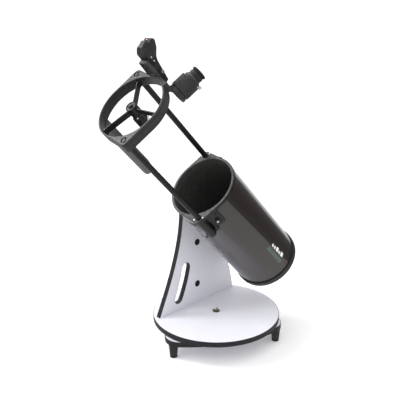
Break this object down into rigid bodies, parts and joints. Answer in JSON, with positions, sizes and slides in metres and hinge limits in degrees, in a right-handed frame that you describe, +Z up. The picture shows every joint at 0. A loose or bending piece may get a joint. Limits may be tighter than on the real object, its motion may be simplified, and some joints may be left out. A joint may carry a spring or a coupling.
{
  "type": "newtonian reflector telescope",
  "caption": "Tabletop newtonian reflector: collapsible strut tube on a side-arm turntable mount, with helical focuser and reflex finder.",
  "frame": {"origin": "middle of the bounding box at rest, on the surface that the feet stand on", "axes": "+Z up, the tube points to -Y and up, the arm stands on the -X side of the tube"},
  "size_m": [0.367, 0.6396, 0.8837],
  "materials": {
    "laminate": "white melamine laminate, satin",
    "edging": "black edge banding, fine grain",
    "foot": "black moulded plastic",
    "black": "black moulded plastic, fine texture",
    "moulding": "dark grey moulded plastic, satin",
    "tube": "gloss black paint with a fine metal flake on rolled steel",
    "strut": "black anodised tube, semi-gloss",
    "steel": "bright plated steel",
    "mirror": "front-surface mirror",
    "lens": "amber window",
    "label": "printed film",
    "pad": "slippery white plastic"
  },
  "bodies": {
    "ground_base": {"ground_board": "laminate", "ground_edging": "edging", "foot_1": "foot", "foot_2": "foot", "foot_3": "foot", "azimuth_pad_1": "pad", "azimuth_pad_2": "pad", "azimuth_pad_3": "pad", "azimuth_bolt": "steel", "azimuth_nut": "steel"},
    "turntable": {"turntable_disc": "laminate", "turntable_edging": "edging", "arm_board": "laminate", "arm_edging": "edging", "slot_edging": "edging", "arm_plug_upper": "foot", "arm_plug_lower": "foot", "arm_bolt_1": "steel", "arm_bolt_2": "steel", "altitude_washer": "pad"},
    "tube": {"altitude_saddle": "black", "dovetail_bar": "black", "lower_tube": "tube", "tube_label": "label", "mouth_flange": "black", "mirror_cell": "moulding", "mirror_carrier": "black", "primary_mirror": "mirror", "collimation_spring_1": "steel", "collimation_spring_2": "steel", "collimation_spring_3": "steel"},
    "altitude_knob": {"altitude_knob": "black"},
    "saddle_clamp_knob": {"saddle_clamp_knob": "black"},
    "collimation_knob_1": {"collimation_knob_1": "foot"},
    "collimation_knob_2": {"collimation_knob_2": "foot"},
    "collimation_knob_3": {"collimation_knob_3": "foot"},
    "strut_lock_lower": {"strut_lock_lower": "foot"},
    "strut_lock_upper": {"strut_lock_upper": "foot"},
    "cage": {"strut_lower": "strut", "strut_upper": "strut", "cage_ring": "moulding", "light_shield": "moulding", "spider": "black", "secondary_holder": "black", "secondary_mirror": "mirror", "focuser_bracket": "moulding", "finder_shoe": "moulding", "finder_body": "black", "finder_window": "lens"},
    "secondary_bolt": {"secondary_bolt": "steel"},
    "focuser_drawtube": {"focuser_drawtube": "black"},
    "eyepiece_holder": {"eyepiece_holder": "black", "eyepiece": "black"},
    "eyepiece_screw_1": {"eyepiece_screw_1": "steel"},
    "eyepiece_screw_2": {"eyepiece_screw_2": "steel"},
    "finder_switch": {"finder_switch": "foot"},
    "finder_adjuster": {"finder_adjuster": "steel"}
  },
  "joints": [
    {"name": "azimuth_turn", "type": "hinge", "parent": "ground_base", "child": "turntable", "pos_m": [0, 0.08557, 0], "axis": [0, 0, 1], "continuous": true},
    {"name": "altitude_tilt", "type": "hinge", "parent": "turntable", "child": "tube", "pos_m": [0.0479, 0.08557, 0.3823], "axis": [-1, 0, 0], "range_deg": [-46, 43]},
    {"name": "altitude_knob_turn", "type": "hinge", "parent": "tube", "child": "altitude_knob", "pos_m": [-0.096, 0.08557, 0.3823], "axis": [1, 0, 0], "range_deg": [-90, 360]},
    {"name": "saddle_clamp_turn", "type": "hinge", "parent": "tube", "child": "saddle_clamp_knob", "pos_m": [-0.0599, 0.11464, 0.40978], "axis": [0, 0.7266, 0.6871], "range_deg": [-90, 360]},
    {"name": "collimation_turn_1", "type": "hinge", "parent": "tube", "child": "collimation_knob_1", "pos_m": [0.0479, 0.29063, 0.25278], "axis": [0, -0.6871, 0.7266], "range_deg": [-360, 360]},
    {"name": "collimation_turn_2", "type": "hinge", "parent": "tube", "child": "collimation_knob_2", "pos_m": [-0.00406, 0.22524, 0.19094], "axis": [0, -0.6871, 0.7266], "range_deg": [-360, 360]},
    {"name": "collimation_turn_3", "type": "hinge", "parent": "tube", "child": "collimation_knob_3", "pos_m": [0.09986, 0.22524, 0.19094], "axis": [0, -0.6871, 0.7266], "range_deg": [-360, 360]},
    {"name": "strut_lock_lower_turn", "type": "hinge", "parent": "tube", "child": "strut_lock_lower", "pos_m": [0.1245, -0.03808, 0.41951], "axis": [0.766, -0.467, -0.4417], "range_deg": [0, 360]},
    {"name": "strut_lock_upper_turn", "type": "hinge", "parent": "tube", "child": "strut_lock_upper", "pos_m": [0.03053, 0.08017, 0.53134], "axis": [-0.1736, 0.7155, 0.6766], "range_deg": [0, 360]},
    {"name": "cage_slide", "type": "slide", "parent": "tube", "child": "cage", "axis": [0, 0.6871, -0.7266], "range_m": [0, 0.285]},
    {"name": "secondary_bolt_turn", "type": "hinge", "parent": "cage", "child": "secondary_bolt", "pos_m": [0.0479, -0.24698, 0.73396], "axis": [0, -0.6871, 0.7266], "range_deg": [-360, 360]},
    {"name": "focus_travel", "type": "slide", "parent": "cage", "child": "focuser_drawtube", "axis": [0.342, 0.6828, 0.6457], "range_m": [0, 0.012]},
    {"name": "focus_turn", "type": "hinge", "parent": "focuser_drawtube", "child": "eyepiece_holder", "pos_m": [0.09236, -0.11356, 0.77067], "axis": [0.342, 0.6828, 0.6457], "range_deg": [0, 360]},
    {"name": "eyepiece_screw_turn_1", "type": "hinge", "parent": "eyepiece_holder", "child": "eyepiece_screw_1", "pos_m": [0.11075, -0.09127, 0.76694], "axis": [0.539, 0.4203, -0.73], "range_deg": [-360, 360]},
    {"name": "eyepiece_screw_turn_2", "type": "hinge", "parent": "eyepiece_holder", "child": "eyepiece_screw_2", "pos_m": [0.08704, -0.085, 0.77287], "axis": [-0.539, 0.7054, -0.4604], "range_deg": [-360, 360]},
    {"name": "finder_switch_turn", "type": "hinge", "parent": "cage", "child": "finder_switch", "pos_m": [0.01934, -0.18661, 0.84473], "axis": [-0.9962, -0.0633, -0.0599], "range_deg": [0, 270]},
    {"name": "finder_adjuster_turn", "type": "hinge", "parent": "cage", "child": "finder_adjuster", "pos_m": [0.0549, -0.15377, 0.80284], "axis": [-0.9962, -0.0633, -0.0599], "range_deg": [-360, 360]}
  ],
  "couplings": [
    {"joint": "focus_turn", "follows": "focus_travel", "rad_per_m": 523.6}
  ]
}
